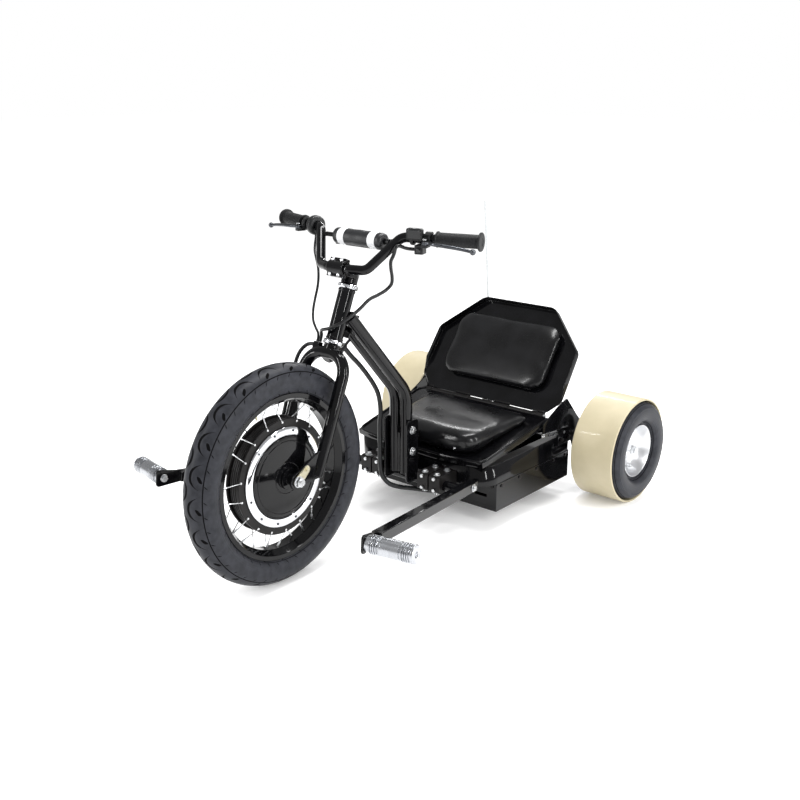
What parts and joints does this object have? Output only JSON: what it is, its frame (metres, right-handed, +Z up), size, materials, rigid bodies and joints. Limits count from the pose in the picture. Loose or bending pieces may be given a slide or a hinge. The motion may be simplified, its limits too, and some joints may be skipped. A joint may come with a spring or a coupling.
{
  "type": "drift trike",
  "caption": "Low three-wheeled drift trike with a spoked hub-motor front wheel, riser handlebar, padded folding seat back and sleeved rear wheels.",
  "frame": {"origin": "on the ground, under the middle of the trike's length and width", "axes": "+X to the rider's left, +Y backwards, +Z up"},
  "size_m": [0.8386, 1.3424, 0.7917],
  "materials": {
    "black_paint": "gloss black paint",
    "satin_black_paint": "satin black paint",
    "black_plastic": "fine-grained black plastic",
    "black_vinyl": "glossy black vinyl over foam",
    "tyre_rubber": "dark grey tyre rubber",
    "grip_rubber": "ribbed black rubber",
    "cable_skin": "black cable sheath",
    "pad_foam": "black sleeve over foam with white bands",
    "chrome": "polished chrome",
    "zinc_steel": "zinc-plated steel",
    "aluminium": "satin aluminium",
    "sleeve_plastic": "cream polyethylene",
    "pack_wrap": "dark blue shrink wrap",
    "fibreglass": "pale grey fibreglass rod"
  },
  "bodies": {
    "chassis": {"headset_lower": "chrome", "headset_upper": "chrome", "neck_frame": "black_paint", "front_cross_tube": "black_paint", "frame_clamp_left_1": "satin_black_paint", "frame_clamp_left_2": "satin_black_paint", "frame_clamp_right_1": "satin_black_paint", "frame_clamp_right_2": "satin_black_paint", "peg_arm_left": "black_paint", "peg_arm_right": "black_paint", "foot_peg_left": "aluminium", "foot_peg_right": "aluminium", "base_tub": "black_paint", "base_frame": "satin_black_paint", "battery_box": "black_paint", "battery_pack": "pack_wrap", "motor_controller": "aluminium", "axle_carrier_left": "black_paint", "axle_carrier_right": "black_paint", "rear_axle": "zinc_steel", "seat_tray": "black_paint", "seat_cushion": "black_vinyl", "seat_bracket_left": "black_paint", "seat_bracket_right": "black_paint", "flag_pole": "fibreglass", "wiring_harness": "cable_skin"},
    "steering": {"fork": "black_paint", "front_axle": "zinc_steel", "torque_arm": "zinc_steel", "stem": "black_paint", "stem_faceplate": "black_paint", "handlebar": "black_paint", "crossbar_pad": "pad_foam", "left_grip": "grip_rubber", "throttle_housing": "black_plastic", "left_lever_perch": "black_plastic", "right_lever_perch": "black_plastic", "display": "black_plastic", "switch_cluster": "black_plastic", "right_control_cable": "cable_skin", "left_control_cable": "cable_skin", "motor_cable": "cable_skin"},
    "front_wheel": {"front_tyre": "tyre_rubber", "front_rim": "satin_black_paint", "spoke_flange_left": "zinc_steel", "spoke_flange_right": "zinc_steel", "hub_shell": "satin_black_paint", "hub_ring": "aluminium", "hub_cover": "black_paint"},
    "rear_left_wheel": {"rear_tyre_left": "tyre_rubber", "rear_sleeve_left": "sleeve_plastic", "rear_rim_left": "aluminium"},
    "rear_right_wheel": {"rear_tyre_right": "tyre_rubber", "rear_sleeve_right": "sleeve_plastic", "rear_rim_right": "aluminium"},
    "seat_back": {"seat_back_shell": "black_paint", "seat_back_pad": "black_vinyl"},
    "left_lever": {"left_brake_lever": "aluminium"},
    "right_lever": {"right_brake_lever": "aluminium"},
    "throttle_grip": {"twist_grip": "grip_rubber"}
  },
  "joints": [
    {"name": "steer", "type": "hinge", "parent": "chassis", "child": "steering", "pos_m": [0, -0.22729, 0.52412], "axis": [0, 0.3857, 0.9226], "range_deg": [-45, 45]},
    {"name": "front_wheel_spin", "type": "hinge", "parent": "steering", "child": "front_wheel", "pos_m": [0, -0.41535, 0.2558], "axis": [1, 0, 0], "continuous": true},
    {"name": "rear_left_spin", "type": "hinge", "parent": "chassis", "child": "rear_left_wheel", "pos_m": [0.334, 0.52865, 0.1425], "axis": [1, 0, 0], "continuous": true},
    {"name": "rear_right_spin", "type": "hinge", "parent": "chassis", "child": "rear_right_wheel", "pos_m": [-0.334, 0.52865, 0.1425], "axis": [1, 0, 0], "continuous": true},
    {"name": "seat_back_fold", "type": "hinge", "parent": "chassis", "child": "seat_back", "pos_m": [0, 0.36545, 0.23956], "axis": [1, 0, 0], "range_deg": [0, 60]},
    {"name": "left_brake_squeeze", "type": "hinge", "parent": "steering", "child": "left_lever", "pos_m": [0.19547, -0.13874, 0.76222], "axis": [0.0002, 0.0001, 1], "range_deg": [0, 9], "stiffness_Nm_per_rad": 1, "springref_deg": -8.59},
    {"name": "right_brake_squeeze", "type": "hinge", "parent": "steering", "child": "right_lever", "pos_m": [-0.19547, -0.13874, 0.76222], "axis": [0.0002, -0.0001, -1], "range_deg": [0, 9], "stiffness_Nm_per_rad": 1, "springref_deg": -8.59},
    {"name": "throttle_twist", "type": "hinge", "parent": "steering", "child": "throttle_grip", "pos_m": [-0.125, -0.13215, 0.76724], "axis": [-0.9513, 0.3084, -0.0002], "range_deg": [0, 70], "stiffness_Nm_per_rad": 0.3, "springref_deg": -11.46}
  ]
}
